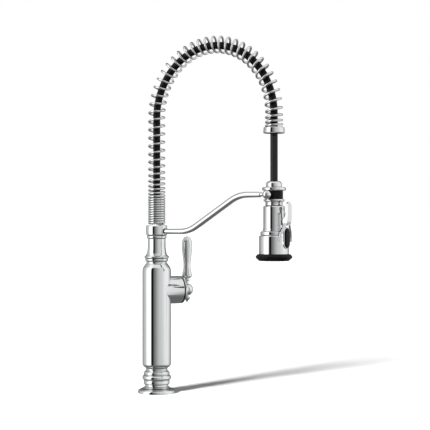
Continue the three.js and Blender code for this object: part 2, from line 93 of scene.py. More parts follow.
def makeHandlingMarks():
    group, entry, leave = newGroup(
        "handlingMarks",
        [
            ("Color", "NodeSocketColor", (0.6, 0.6, 0.6, 1)),
            ("Scale", "NodeSocketFloat", 40.0),
            ("Darkest", "NodeSocketFloat", 0.94),
            ("Roughness", "NodeSocketFloat", 0.05),
            ("Spread", "NodeSocketFloat", 0.04),
        ],
        [("Color", "NodeSocketColor"), ("Roughness", "NodeSocketFloat")],
    )
    nodes, links = group.nodes, group.links
    place = nodes.new("ShaderNodeTexCoord")
    cloud = nodes.new("ShaderNodeTexNoise")
    cloud.inputs["Detail"].default_value = 5
    cloud.inputs["Roughness"].default_value = 0.6
    links.new(place.outputs["Object"], cloud.inputs["Vector"])
    links.new(entry.outputs["Scale"], cloud.inputs["Scale"])
    shade = nodes.new("ShaderNodeMapRange")
    links.new(cloud.outputs["Fac"], shade.inputs["Value"])
    shade.inputs["From Min"].default_value = 0.3
    shade.inputs["From Max"].default_value = 0.7
    links.new(entry.outputs["Darkest"], shade.inputs["To Min"])
    shade.inputs["To Max"].default_value = 1
    tint = nodes.new("ShaderNodeVectorMath")
    tint.operation = "SCALE"
    links.new(entry.outputs["Color"], tint.inputs[0])
    links.new(shade.outputs["Result"], tint.inputs["Scale"])
    links.new(tint.outputs["Vector"], leave.inputs["Color"])
    wipe = nodes.new("ShaderNodeMath")
    wipe.operation = "MULTIPLY_ADD"
    links.new(cloud.outputs["Fac"], wipe.inputs[0])
    links.new(entry.outputs["Spread"], wipe.inputs[1])
    links.new(entry.outputs["Roughness"], wipe.inputs[2])
    links.new(wipe.outputs["Value"], leave.inputs["Roughness"])
    return group


def makeFineGrain():
    group, entry, leave = newGroup(
        "fineGrain",
        [("Scale", "NodeSocketFloat", 900.0), ("Depth", "NodeSocketFloat", 1.0)],
        [("Height", "NodeSocketFloat")],
    )
    nodes, links = group.nodes, group.links
    place = nodes.new("ShaderNodeTexCoord")
    grain = nodes.new("ShaderNodeTexNoise")
    grain.inputs["Detail"].default_value = 3
    links.new(place.outputs["Object"], grain.inputs["Vector"])
    links.new(entry.outputs["Scale"], grain.inputs["Scale"])
    deepen = nodes.new("ShaderNodeMath")
    deepen.operation = "MULTIPLY"
    links.new(grain.outputs["Fac"], deepen.inputs[0])
    links.new(entry.outputs["Depth"], deepen.inputs[1])
    links.new(deepen.outputs["Value"], leave.inputs["Height"])
    return group


handlingMarks = makeHandlingMarks()
fineGrain = makeFineGrain()

finishSettings = {
    "polishedChrome": {
        "slot": "polished_chrome", "color": (0.62, 0.625, 0.63), "metallic": 1, "marks": 26, "darkest": 0.96,
        "roughness": 0.02, "spread": 0.05, "grain": 60, "bump": 0.012,
    },
    "blackRubber": {
        "slot": "black_rubber", "color": (0.002, 0.002, 0.0022), "metallic": 0, "marks": 60, "darkest": 0.7,
        "roughness": 0.2, "spread": 0.16, "grain": 1600, "bump": 0.05, "specular": 0.1,
    },
    "greyHose": {
        "slot": "grey_hose", "color": (0.006, 0.006, 0.0064), "metallic": 0, "marks": 90, "darkest": 0.75,
        "roughness": 0.28, "spread": 0.15, "grain": 1400, "bump": 0.08, "specular": 0.16,
    },
    "machinedBrass": {
        "slot": "brass", "color": (0.71, 0.5, 0.2), "metallic": 1, "marks": 70, "darkest": 0.8,
        "roughness": 0.22, "spread": 0.2, "grain": 900, "bump": 0.1,
    },
    "drawnCopper": {
        "slot": "copper", "color": (0.72, 0.34, 0.2), "metallic": 1, "marks": 50, "darkest": 0.75,
        "roughness": 0.22, "spread": 0.2, "grain": 700, "bump": 0.08,
    },
    "brightSteel": {
        "slot": "steel", "color": (0.5, 0.5, 0.51), "metallic": 1, "marks": 90, "darkest": 0.85,
        "roughness": 0.16, "spread": 0.16, "grain": 1200, "bump": 0.06,
    },
    "whitePlastic": {
        "slot": "white_plastic", "color": (0.8, 0.79, 0.74), "metallic": 0, "marks": 60, "darkest": 0.92,
        "roughness": 0.35, "spread": 0.2, "grain": 1100, "bump": 0.1,
    },
    "glazedCeramic": {
        "slot": "ceramic", "color": (0.84, 0.83, 0.79), "metallic": 0, "marks": 40, "darkest": 0.94,
        "roughness": 0.12, "spread": 0.12, "grain": 800, "bump": 0.04,
    },
}


def makeFinish(name, settings):
    material = bpy.data.materials.new(name)
    material.use_nodes = True
    nodes, links = material.node_tree.nodes, material.node_tree.links
    shader = nodes["Principled BSDF"]
    shader.inputs["Metallic"].default_value = settings["metallic"]
    shader.inputs["Specular IOR Level"].default_value = settings.get("specular", 0.5)
    marks = nodes.new("ShaderNodeGroup")
    marks.node_tree = handlingMarks
    marks.inputs["Color"].default_value = (*settings["color"], 1)
    marks.inputs["Scale"].default_value = settings["marks"]
    marks.inputs["Darkest"].default_value = settings["darkest"]
    marks.inputs["Roughness"].default_value = settings["roughness"]
    marks.inputs["Spread"].default_value = settings["spread"]
    links.new(marks.outputs["Color"], shader.inputs["Base Color"])
    links.new(marks.outputs["Roughness"], shader.inputs["Roughness"])
    grain = nodes.new("ShaderNodeGroup")
    grain.node_tree = fineGrain
    grain.inputs["Scale"].default_value = settings["grain"]
    bump = nodes.new("ShaderNodeBump")
    bump.inputs["Strength"].default_value = settings["bump"]
    bump.inputs["Distance"].default_value = 0.001
    links.new(grain.outputs["Height"], bump.inputs["Height"])
    links.new(bump.outputs["Normal"], shader.inputs["Normal"])
    return material


finishes = {name: makeFinish(name, settings) for name, settings in finishSettings.items()}
finishOfSlot = {settings["slot"]: name for name, settings in finishSettings.items()}
print("finishes made")


# Shapes. A corner of an outline is rounded where it has a third number, as far as its sides allow.
def rounded(corners, closed=False, steps=6):
    flattest, nearlyHalf = 0.05, 0.49
    line = []
    for i, corner in enumerate(corners):
        here = Vector(corner[:2])
        isEnd = not closed and i in (0, len(corners) - 1)
        if len(corner) < 3 or isEnd:
            line.append(here)
            continue
        back = Vector(corners[i - 1][:2]) - here
        on = Vector(corners[(i + 1) % len(corners)][:2]) - here
        setback = corner[2] / max(math.tan(back.angle(on) / 2), flattest)
        start = here + back.normalized() * min(setback, nearlyHalf * back.length)
        end = here + on.normalized() * min(setback, nearlyHalf * on.length)
        for step in range(steps + 1):
            t = step / steps
            line.append((1 - t) ** 2 * start + 2 * t * (1 - t) * here + t * t * end)
    return line


def arc(centre, radius, start, end, steps=16):
    angles = [math.radians(start + (end - start) * i / steps) for i in range(steps + 1)]
    return [(centre[0] + radius * math.cos(a), centre[1] + radius * math.sin(a)) for a in angles]


# A mesh spun from an outline. An outline that starts and ends on the axis is a solid, any other is a ring.
def spun(corners, turns=96):
    isRing = corners[0][0] > 0
    line = rounded(corners, closed=isRing)
    bm = bmesh.new()
    verts = [bm.verts.new((r * mm, 0, z * mm)) for r, z in line]
    ends = verts[1:] + verts[:1] if isRing else verts[1:]
    edges = [bm.edges.new(pair) for pair in zip(verts, ends)]
    axis = {"cent": (0, 0, 0), "axis": (0, 0, 1), "dvec": (0, 0, 0)}
    bmesh.ops.spin(bm, geom=verts + edges, angle=math.tau, steps=turns, use_merge=True, **axis)
    bmesh.ops.remove_doubles(bm, verts=bm.verts, dist=1e-6)
    bmesh.ops.recalc_face_normals(bm, faces=bm.faces)
    return bm


# An upright oval block that stands out along its own +Z
def ovalBlock(halfWidth, halfHeight, low, high, edge, sides=48):
    bm = bmesh.new()
    halfStep = Matrix.Rotation(math.pi / sides, 4, "Z")
    bmesh.ops.create_circle(bm, segments=sides, radius=halfWidth * mm, cap_ends=True, matrix=halfStep)
    straight = (halfHeight - halfWidth) * mm
    for vert in bm.verts:
        vert.co.y += math.copysign(straight, vert.co.y)
        vert.co.z = low * mm
    lifted = bmesh.ops.extrude_face_region(bm, geom=bm.faces[:])["geom"]
    top = [item for item in lifted if isinstance(item, bmesh.types.BMVert)]
    bmesh.ops.translate(bm, verts=top, vec=(0, 0, (high - low) * mm))
    rim = [item for item in lifted if isinstance(item, bmesh.types.BMEdge)]
    bmesh.ops.bevel(bm, geom=rim, offset=edge * mm, segments=5, profile=0.5, affect="EDGES", material=-1)
    bmesh.ops.recalc_face_normals(bm, faces=bm.faces)
    return bm


def moved(bm, matrix):
    bmesh.ops.transform(bm, matrix=matrix, verts=bm.verts)
    return bm


def joined(first, *others):
    for other in others:
        mesh = bpy.data.meshes.new("joining")
        other.to_mesh(mesh)
        other.free()
        first.from_mesh(mesh)
        bpy.data.meshes.remove(mesh)
    return first


def looseObject(bm, name):
    mesh = bpy.data.meshes.new(name)
    bm.to_mesh(mesh)
    bm.free()
    made = bpy.data.objects.new(name, mesh)
    bpy.context.scene.collection.objects.link(made)
    return made


# One mesh with others cut out of it, or cut to them or joined with them, as the operation says
def carved(bm, *cutters, operation="DIFFERENCE"):
    body = looseObject(bm, "carving")
    for cutter in cutters:
        tool = looseObject(cutter, "cutter")
        cut = body.modifiers.new("cut", "BOOLEAN")
        cut.operation = operation
        cut.solver = "EXACT"
        cut.object = tool
        result = bpy.data.meshes.new_from_object(body.evaluated_get(bpy.context.evaluated_depsgraph_get()))
        body.modifiers.clear()
        body.data = result
        bpy.data.objects.remove(tool)
    carvedMesh = bmesh.new()
    carvedMesh.from_mesh(body.data)
    bpy.data.objects.remove(body)
    return carvedMesh


# A round tube with closed ends along points, with a radius at each
def tubeAlong(points, radii, roundness=8):
    curve = bpy.data.curves.new("route", "CURVE")
    curve.dimensions = "3D"
    curve.bevel_depth = mm
    curve.bevel_resolution = roundness
    curve.use_fill_caps = True
    spline = curve.splines.new("POLY")
    spline.points.add(len(points) - 1)
    for slot, point, radius in zip(spline.points, points, radii):
        slot.co = (*point, 1)
        slot.radius = radius / mm
    holder = bpy.data.objects.new("route", curve)
    bpy.context.scene.collection.objects.link(holder)
    mesh = bpy.data.meshes.new_from_object(holder.evaluated_get(bpy.context.evaluated_depsgraph_get()))
    bpy.data.objects.remove(holder)
    bm = bmesh.new()
    bm.from_mesh(mesh)
    bmesh.ops.remove_doubles(bm, verts=bm.verts, dist=1e-7)
    bmesh.ops.recalc_face_normals(bm, faces=bm.faces)
    return bm


def finished(bm, name, finish, body, replaced=(), sharp=35):
    piece = looseObject(bm, name)
    piece.data.shade_smooth()
    piece.data.set_sharp_from_angle(angle=math.radians(sharp))
    piece.data.materials.append(finishes[finish])
    if body:
        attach(piece, body)
    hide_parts(*replaced)
    return piece


# A turned piece that takes its centre and its foot from the node it stands for
def turnedPiece(name, node, outline, finish, body, sharp=35):
    low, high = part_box(node)
    middle = (low + high) / 2
    place = Matrix.Translation((middle.x, middle.y, low.z))
    return finished(moved(spun(outline), place), name, finish, body, [node], sharp)


# Base: a flange with a hollow underside, and a pedestal of three beads
flangeOutline = [
    (17.3, 0), (24.7, 0), (24.7, 2.3), (31.3, 2.3), (31.3, 0), (33.4, 0, 0.3), (33.4, 3.2, 0.8),
    (32.4, 5.2, 2), (28, 7.8, 8), (24.4, 8.4, 1), (17.3, 8.4),
]
pedestalOutline = [
    (16.9, 6.1), (24.6, 6.1), (22.4, 7.9, 1.4), (20.4, 9.6, 1.2), (20.3, 11.9, 0.3),
    (22.2, 12.4, 0.8), (23.1, 14.6, 2.5), (23, 18.4, 1.8), (21.9, 20.3, 0.4),
    (24.2, 20.9, 1), (25.5, 23.2, 2.5), (25.5, 26.4, 2.5), (24, 28.6, 1), (21.2, 29.2, 0.4),
    (22.9, 30.3, 1), (23.2, 32.4, 2.5), (21.9, 35.2, 3), (19.6, 36.9, 1.2), (19.1, 38), (16.9, 38),
]


def makeBase():
    turnedPiece("baseFlange", "base_flange", flangeOutline, "polishedChrome", "body")
    turnedPiece("pedestal", "pedestal", pedestalOutline, "polishedChrome", "body")


# Body: the column and the valve's stub on its side
column = {
    "foot": [(0, 0), (19, 0, 0.3), (19.1, 2.4, 0.8)],
    "footArc": {"centre": (17.9, 11.4), "radius": 7.5},
    "shoulder": [
        (25.4, 176, 9), (24.6, 181.2, 6), (20.6, 187, 4), (18.4, 189.4, 1.2), (18.1, 191.7, 0.3), (0, 191.7),
    ],
    "stub": [(0, 0), (24.4, 0), (24.6, 43.8, 0.9), (19.4, 43.8, 0.4), (19.4, 42, 0.3), (0, 42)],
    "ring": [(15.6, 0), (18, 0, 0.3), (19.8, 1.1, 0.8), (20.4, 3, 1), (20.4, 5.5, 0.4), (15.6, 5.5)],
}
valve = joints["handle_temperature"]
valveCentre = Vector(valve["pos_m"])
handleAxis = Vector(valve["axis"])
toHandle = Matrix.Translation(valveCentre) @ handleAxis.to_track_quat("Z", "Y").to_matrix().to_4x4()


def makeBody():
    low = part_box("body_shell")[0]
    bend = column["footArc"]
    outline = column["foot"] + arc(bend["centre"], bend["radius"], -72, 0, 14) + column["shoulder"]
    shaft = moved(spun(outline, 128), Matrix.Translation((0, 0, low.z)))
    stub = moved(spun(column["stub"], 128), toHandle)
    shell = carved(shaft, stub, operation="UNION")
    finished(shell, "bodyShell", "polishedChrome", "body", ["body_shell"], 30)
    turnedPiece("shoulderRing", "shoulder_ring", column["ring"], "polishedChrome", "body")


# Neck and the two rings on it. The collar has a socket for the arm and a screw hole opposite.
neck = {
    "gap": 0.6,
    "outline": [
        (10.8, 0), (20.8, 0, 0.3), (22, 1.4, 1), (22, 3, 1.2), (19.4, 5, 1.6), (17.3, 9.4, 6),
        (15.9, 19, 10), (15.9, 34.6, 0.2), (10.8, 34.6),
    ],
    "lowerRing": [(15, 0), (16.7, 0, 0.3), (17.7, 1.4, 0.9), (17.7, 4, 0.9), (16.8, 5.5, 0.4), (15, 5.5)],
    "collar": [
        (15, 0), (18, 0, 0.3), (18.9, 1.4, 0.9), (19.1, 8.6, 12), (18.9, 15.9, 0.9), (18, 17.3, 0.3),
        (15, 17.3),
    ],
    "screwHole": [(0, 14), (2.3, 14), (2.3, 25), (0, 25)],
    "socket": [(0, 15.8), (5.8, 15.8), (5.8, 25), (0, 25)],
}


def makeNeck():
    foot = Matrix.Translation((0, 0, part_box("shoulder_ring")[1].z + neck["gap"] * mm))
    finished(moved(spun(neck["outline"]), foot), "neckTube", "polishedChrome", "spout", ["neck_tube"])
    turnedPiece("lowerCollarRing", "lower_collar_ring", neck["lowerRing"], "polishedChrome", "spout")
    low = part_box("dock_collar")[0]
    collar = moved(spun(neck["collar"]), Matrix.Translation((0, 0, low.z)))
    turn = Matrix.Rotation(math.radians(arm["angle"]), 4, "Z")
    level = Matrix.Translation((0, 0, arm["height"] * mm)) @ turn
    screwHole = moved(spun(neck["screwHole"], 32), level @ Matrix.Rotation(math.radians(-90), 4, "X"))
    socket = moved(spun(neck["socket"], 48), level @ Matrix.Rotation(math.radians(90), 4, "X"))
    finished(carved(collar, screwHole, socket), "dockCollar", "polishedChrome", "spout", ["dock_collar"])


# Arm: level, up a slope between two bends, and level again to the dock
arm = {
    "angle": -5.5, "height": 287, "rise": 63.3, "slope": 31, "bend": 67.5, "start": 15.8, "firstBend": 52.8,
    "end": 223, "radius": 4.5, "swell": 1, "taper": 2.4,
    "stride": 4, "strides": 8, "bendSteps": 24, "endSteps": 48,
    "dock": 234, "ball": 7.5, "neck": 3, "neckFillet": 0.6, "neckFlare": 6,
}


def armRoute():
    slope = math.radians(arm["slope"])
    bend = arm["bend"]
    ramp = (arm["rise"] - 2 * bend * (1 - math.cos(slope))) / math.tan(slope)
    lastBend = arm["firstBend"] + 2 * bend * math.sin(slope) + ramp
    top = arm["height"] + arm["rise"]
    route = [(arm["start"] + step * arm["stride"], arm["height"]) for step in range(arm["strides"])]
    turns = [slope * step / arm["bendSteps"] for step in range(arm["bendSteps"] + 1)]
    for turn in turns:
        route.append((arm["firstBend"] + bend * math.sin(turn), arm["height"] + bend * (1 - math.cos(turn))))
    for turn in reversed(turns):
        route.append((lastBend - bend * math.sin(turn), top - bend * (1 - math.cos(turn))))
    stride = (arm["end"] - lastBend) / arm["endSteps"]
    route += [(lastBend + stride * step, top) for step in range(1, arm["endSteps"] + 1)]
    return route, top


def makeArm():
    route, top = armRoute()
    turn = Matrix.Rotation(math.radians(arm["angle"]), 4, "Z")
    span = route[-1][0] - route[0][0]
    radii = []
    for out, up in route:
        share = (out - route[0][0]) / span
        radius = arm["radius"] + arm["swell"] * math.sin(math.pi * share)
        left = max(0, 1 - (arm["end"] - out) / arm["taper"])
        radii.append((radius - (radius - arm["neck"]) * left * left) * mm)
    points = [turn @ Vector((0, -out * mm, up * mm)) for out, up in route]
    finished(tubeAlong(points, radii, 10), "supportArm", "polishedChrome", "spout", ["support_arm"])
    gap = arm["dock"] - arm["end"]
    ball = arm["ball"]
    neckAngle = math.degrees(math.asin(arm["neck"] / ball))
    outline = [(0, -ball)] + arc((0, 0), ball, -80, 90 - neckAngle - arm["neckFlare"], 30)
    outline += [(arm["neck"], ball + arm["neckFillet"], 0.4), (arm["neck"], gap), (0, gap)]
    towardsColumn = Matrix.Rotation(math.radians(-90), 4, "X")
    place = turn @ Matrix.Translation((0, -arm["dock"] * mm, top * mm)) @ towardsColumn
    finished(moved(spun(outline, 64), place), "dockBall", "polishedChrome", "spout", ["dock_ball"])


# Arch: the line that the hose and the spring follow, by its distance from the spring's foot
archReach = -joints["head_spin"]["pos_m"][1] / mm
arch = {
    "base": 487, "rise": 123, "steps": 720,
    "hoseFoot": 224.3, "hoseRadius": 6.35, "hoseGap": 0.6, "hoseSteps": 220,
    "bushing": [(6.8, 0, 0.3), (8.9, 0, 0.3), (8.9, 4.2, 0.3), (6.8, 4.2, 0.3)],
}
spring = {
    "foot": 299.6, "wire": 1.95, "radius": 13.45, "phase": 219.5, "closed": 4.15, "closedUntil": 342.1,
    "open": 14.7, "openFrom": 444.9, "mean": 13.93, "swing": 0.66, "closing": 44.5, "last": 4.1,
    "end": 460.1, "lift": 1.6, "stepsPerTurn": 40, "samples": 12000,
}


# Even steps along the line: the distance so far, the place, the outward direction, and the turn in the arch
def archLine(foot, end, count):
    half = archReach / 2
    steps = arch["steps"]
    line = [(0.0, foot, 0.0), (0.0, arch["base"], 0.0)]
    for step in range(1, steps + 1):
        turn = math.pi * step / steps
        line.append((-half * (1 - math.cos(turn)), arch["base"] + arch["rise"] * math.sin(turn), turn))
    line.append((-archReach, end, math.pi))
    lengths = [0.0]
    for a, b in zip(line, line[1:]):
        lengths.append(lengths[-1] + math.hypot(b[0] - a[0], b[1] - a[1]))
    places, at = [], 0
    for step in range(count + 1):
        distance = lengths[-1] * step / count
        while at < len(lengths) - 2 and lengths[at + 1] < distance:
            at += 1
        share = (distance - lengths[at]) / (lengths[at + 1] - lengths[at])
        y, z, turn = (a + (b - a) * share for a, b in zip(line[at], line[at + 1]))
        along = Vector((0, -half * math.sin(turn), arch["rise"] * math.cos(turn))).normalized()
        places.append((distance, Vector((0, y, z)), Vector((0, along.z, -along.y)), turn))
    return places, lengths[-1]


# The spring's turns are closed at the foot and the end, and open between
def springPitch(distance, total, turn):
    height = spring["foot"] + distance
    if height < spring["closedUntil"]:
        return spring["closed"]
    if height < spring["openFrom"]:
        share = (height - spring["closedUntil"]) / (spring["openFrom"] - spring["closedUntil"])
        return spring["closed"] + (spring["open"] - spring["closed"]) * math.sin(share * math.pi / 2)
    pitch = spring["mean"] + spring["swing"] * math.cos(2 * turn)
    left = (total - distance) / spring["closing"]
    return spring["last"] + (pitch - spring["last"]) * left if left < 1 else pitch


def makeSpring():
    places, total = archLine(spring["foot"], spring["end"], spring["samples"])
    turns, points, lastAngle = 0.0, [], -1.0
    for before, here in zip(places, places[1:]):
        turns += (here[0] - before[0]) / springPitch(here[0], total, here[3])
        if (turns - lastAngle) * spring["stepsPerTurn"] < 1:
            continue
        lastAngle = turns
        angle = math.radians(spring["phase"]) + math.tau * turns
        point = here[1] + here[2] * (spring["radius"] * math.cos(angle) + spring["lift"] * math.sin(here[3]))
        point.x -= spring["radius"] * math.sin(angle)
        points.append(point * mm)
    coil = tubeAlong(points, [spring["wire"] * mm] * len(points), 4)
    finished(coil, "archSpring", "polishedChrome", "spout", ["arch_spring"], 60)
    print("spring has", round(turns, 1), "turns")


ferruleOutline = [
    (9.2, 0), (16.9, 0, 0.3), (18.2, 1.2, 1), (18, 5, 6), (17.6, 9.6, 0.5), (17, 10.4, 0.3),
    (16.2, 10.4, 0.3), (16.2, 3.6), (9.2, 3.6),
]


def makeArch():
    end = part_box("spring_ferrule")[0].z / mm - arch["hoseGap"]
    places = archLine(arch["hoseFoot"], end, arch["hoseSteps"])[0]
    points = [place[1] * mm for place in places]
    hose = tubeAlong(points, [arch["hoseRadius"] * mm] * len(points), 10)
    # The arch hose is the same hose as the drop hose, but it takes the darker black rubber finish instead of the
    # grey hose finish: painted shade from the spring around it
    finished(hose, "archHose", "blackRubber", "spout", ["arch_hose"])
    makeSpring()
    turnedPiece("springFerrule", "spring_ferrule", ferruleOutline, "polishedChrome", "spout")
    turnedPiece("hoseBushing", "hose_bushing", arch["bushing"], "blackRubber", "spout")


# Hose end: the straight hose between the ferrule and the nut, in many rings along its length
dropHose = {"rings": 60, "tuck": 2}
nutOutline = [
    (6.7, 0), (13.2, 0, 0.3), (13.5, 0.8, 0.4), (13.2, 6.6, 0.8), (11.4, 8.9, 0.8), (8.6, 10, 0.8),
    (7.1, 10.2, 0.3), (6.7, 9.9, 0.2),
]


def makeHoseEnd():
    low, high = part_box("drop_hose")
    length = (high.z - low.z) / mm
    radius = arch["hoseRadius"]
    rings = [(radius, length * step / dropHose["rings"]) for step in range(dropHose["rings"] + 1)]
    outline = [(0, 0)] + rings + [(0, length)]
    middle = (low + high) / 2
    hose = moved(spun(outline, 48), Matrix.Translation((middle.x, middle.y, low.z)))
    hose = finished(hose, "dropHose", "greyHose", None, ["drop_hose"])
    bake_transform(hose)
    turnedPiece("hoseNut", "hose_nut", nutOutline, "polishedChrome", "hose_end")


# Handle: the bonnet and the ball turn with the lever, and the lever tilts in the ball
handle = {
    "bonnet": [
        (6, 46.1), (24.5, 46.1, 0.3), (24.5, 47.7, 0.7), (17.6, 50.8, 6),
        (13.6, 53.4, 3), (12.3, 56.4, 0.5), (11.3, 56.5, 0.2), (9.3, 52.4, 2), (6.2, 49.6),
    ],
    "lever": [
        (0, -4.6), (4.6, -4.6, 4.4), (4.6, 3.4, 1.5), (3, 3.9, 0.3), (3, 15.3, 0.3), (4.4, 15.6, 0.3),
        (4.9, 17.3, 1.2), (4.4, 18.9, 0.5), (3.5, 19.6, 0.5), (5.2, 20.8, 1.5), (8.5, 22.2, 1.8),
        (9.2, 25.2, 2.2), (8.2, 29.8, 6), (6.5, 38, 14), (6.4, 47, 16), (8.1, 62, 30), (9.6, 77, 20),
        (8.8, 87.4, 9), (5.6, 93.8, 4.5), (0, 95.6),
    ],
    "finial": [
        (0, -22.4), (1.5, -22, 0.6), (2.5, -19.4, 2), (5.3, -16.4, 1.4), (5.9, -14.8, 0.7),
        (5, -13.6, 0.5), (3.3, -12.9, 0.6), (3.1, -11.3, 0.2), (1.9, -11.2), (1.9, -6.8), (0, -6.8),
    ],
    "seal": [(19.6, 44.2), (23.5, 44.2, 0.3), (23.5, 45.9, 0.3), (19.6, 45.9)],
    "ball": 11.1, "hollow": 5.1, "slot": [(0, 2), (3.6, 2), (3.6, 14), (0, 14)], "tilt": 26, "tiltSteps": 6,
    "screwHole": [(0, 7.4), (2.2, 7.4), (2.2, 12), (0, 12)],
    "pinHole": [(0, -12), (1.5, -12), (1.5, 12), (0, 12)],
}


def makeHandle():
    finished(moved(spun(handle["bonnet"]), toHandle), "bonnet", "polishedChrome", "handle_hub", ["bonnet"])
    finished(moved(spun(handle["seal"]), toHandle), "bonnetSeal", "blackRubber", "handle_hub")
    centre = Vector(joints["handle_flow"]["pos_m"])
    heading = math.atan2(handleAxis.y, handleAxis.x)
    place = Matrix.Translation(centre) @ Matrix.Rotation(heading, 4, "Z")
    upright = Matrix.Translation(centre)
    lever = moved(spun(handle["lever"]), upright)
    finished(lever, "lever", "polishedChrome", "handle_lever", ["lever_handle"])
    finial = moved(spun(handle["finial"], 64), upright)
    finished(finial, "finial", "polishedChrome", "handle_hub", ["lever_finial"])

    ball = bmesh.new()
    bmesh.ops.create_uvsphere(ball, u_segments=96, v_segments=48, radius=handle["ball"] * mm)
    hollow = bmesh.new()
    bmesh.ops.create_uvsphere(hollow, u_segments=32, v_segments=16, radius=handle["hollow"] * mm)
    slots = []
    for step in range(handle["tiltSteps"] + 1):
        tilt = math.radians(handle["tilt"]) * step / handle["tiltSteps"]
        slots.append(moved(spun(handle["slot"], 40), Matrix.Rotation(tilt, 4, "Y")))
    towardsEnd = Matrix.Rotation(math.radians(90), 4, "Y")
    screwHole = moved(spun(handle["screwHole"], 32), towardsEnd)
    sideways = Matrix.Rotation(math.radians(90), 4, "X")
    pinHole = moved(spun(handle["pinHole"], 32), sideways)
    hub = moved(carved(ball, hollow, *slots, screwHole, pinHole), place)
    finished(hub, "leverHub", "polishedChrome", "handle_hub", ["lever_hub"], 40)


# Spray head: in its own frame, which turns with the arm, the lever and the button are on -Y
headAxis = Vector(joints["head_spin"]["pos_m"])
headTurn = Matrix.Rotation(math.radians(arm["angle"]), 4, "Z")
toHead = Matrix.Translation((headAxis.x, headAxis.y, 0)) @ headTurn
headRings = {
    "headTopFlange": ("head_top_flange", "polishedChrome", [
        (9, 0), (19, 0, 0.3), (20.2, 1.1, 0.9), (20.2, 4.3, 1), (19, 5.4, 0.5), (9, 5.4),
    ]),
    "magnetRing": ("magnet_ring", "blackRubber", [
        (12.6, 0), (15.3, 0, 0.3), (15.3, 14.1, 0.3), (12.6, 14.1),
    ]),
    "headNeck": ("head_neck", "polishedChrome", [
        (12.6, 0), (13.9, 0, 0.3), (14.7, 0.9, 0.6), (14.7, 4, 0.3), (13.9, 4.7, 0.3),
        (14.7, 5.4, 0.3), (14.8, 6.9, 0.4), (17.3, 7.7, 0.6), (17.7, 9.2, 0.8), (17.3, 11, 0.6),
        (16.6, 11.2, 0.2), (12.6, 11.2),
    ]),
    "stepRing": ("step_ring", "polishedChrome", [
        (16.2, 0), (21.8, 0, 0.3), (22.4, 1, 0.6), (22.4, 5.4, 0.9), (21.4, 6.5, 0.6), (16.2, 6.5),
    ]),
    "nozzleRing": ("nozzle_ring", "blackRubber", [
        (22.5, 0.2), (25.2, 0, 0.6), (26.8, 1.3, 0.8), (30.8, 5, 1.6), (31.3, 7.4, 1.4), (28.4, 10.9, 1.2),
        (27.4, 11.3, 0.3), (22.5, 11.3),
    ]),
}
barrel = {
    "lower": [
        (22.6, 0), (25.5, 0, 0.3), (25.5, 30, 1.4), (24, 31.4, 0.8), (16.2, 31.4), (16.2, 28.8), (22.6, 26),
    ],
    "outline": [
        (15.4, 0), (19.6, 0, 0.4), (19.5, 1.4, 0.8), (18.4, 4.2, 3), (18.1, 8.6, 4), (18.1, 41, 0.3),
        (17.2, 42.4, 0.7), (15, 42.5), (15.4, 36),
    ],
    "ear": {"width": 6, "depth": 10.6, "height": 10, "out": 21.3, "up": 305.6, "edge": 0.8},
    "screws": {
        "angle": 17, "up": 326,
        "outline": [(0, 15.6), (2.5, 15.6), (2.5, 18.4, 0.5), (1.1, 18.6, 0.3), (1, 17.8, 0.1), (0, 17.8)],
        "pocket": [(0, 16.8), (3.6, 16.8), (3.6, 21), (0, 21)],
    },
    "ribs": {
        "angle": 30, "up": 305, "halfWidth": 3.3, "halfHeight": 15.4, "low": 12, "high": 19.9, "edge": 1,
        "scoop": {"radius": 2.9, "halfHeight": 11.6, "out": 21.15},
    },
}


def headPlace(up, angle=0, out=0):
    outwards = Matrix.Rotation(math.radians(90), 4, "X")
    turn = Matrix.Rotation(math.radians(angle), 4, "Z")
    return toHead @ turn @ Matrix.Translation((0, -out * mm, up * mm)) @ outwards


# A block with softened edges, straight ahead of the axis
def block(size):
    bm = bmesh.new()
    bmesh.ops.create_cube(bm, size=mm)
    bmesh.ops.scale(bm, vec=(size["width"], size["depth"], size["height"]), verts=bm.verts)
    if "edge" in size:
        edge = size["edge"] * mm
        bmesh.ops.bevel(
            bm, geom=bm.edges[:], offset=edge, segments=4, profile=0.5, affect="EDGES", material=-1,
        )
    return moved(bm, Matrix.Translation((0, -size["out"] * mm, size["up"] * mm)))


# An upright rod with round ends, to scoop a rib out
def scoopCutter(scoop):
    radius, half = scoop["radius"], scoop["halfHeight"]
    outline = [(0, -half - radius)] + arc((0, -half), radius, -80, 0, 8)
    outline += arc((0, half), radius, 0, 80, 8) + [(0, half + radius)]
    upright = Matrix.Rotation(math.radians(-90), 4, "X")
    return moved(spun(outline, 40), Matrix.Translation((0, 0, scoop["out"] * mm)) @ upright)


def makeHeadShells():
    for name, (node, finish, outline) in headRings.items():
        turnedPiece(name, node, outline, finish, "spray_head")
    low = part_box("head_barrel")[0]
    shell = moved(spun(barrel["outline"], 128), Matrix.Translation((headAxis.x, headAxis.y, low.z)))
    ear = moved(block(barrel["ear"]), toHead)
    screws, ribs = barrel["screws"], barrel["ribs"]
    screwPlaces = [headPlace(screws["up"], hand * screws["angle"]) for hand in (-1, 1)]
    pockets = [moved(spun(screws["pocket"], 40), place) for place in screwPlaces]
    shell = joined(carved(shell, *pockets), ear)
    finished(shell, "headBarrel", "polishedChrome", "spray_head", ["head_barrel"])
    scoop = scoopCutter(ribs["scoop"])
    for number, hand, screwPlace in zip((1, 2), (-1, 1), screwPlaces):
        screw = moved(spun(screws["outline"], 40), screwPlace)
        finished(screw, f"barrelScrew{number}", "brightSteel", "spray_head", [f"barrel_screw_{number}"])
        rib = ovalBlock(ribs["halfWidth"], ribs["halfHeight"], ribs["low"], ribs["high"], ribs["edge"])
        rib = moved(carved(rib, scoop.copy()), headPlace(ribs["up"], hand * ribs["angle"]))
        finished(rib, f"barrelRib{number}", "polishedChrome", "spray_head", [f"barrel_rib_{number}"])


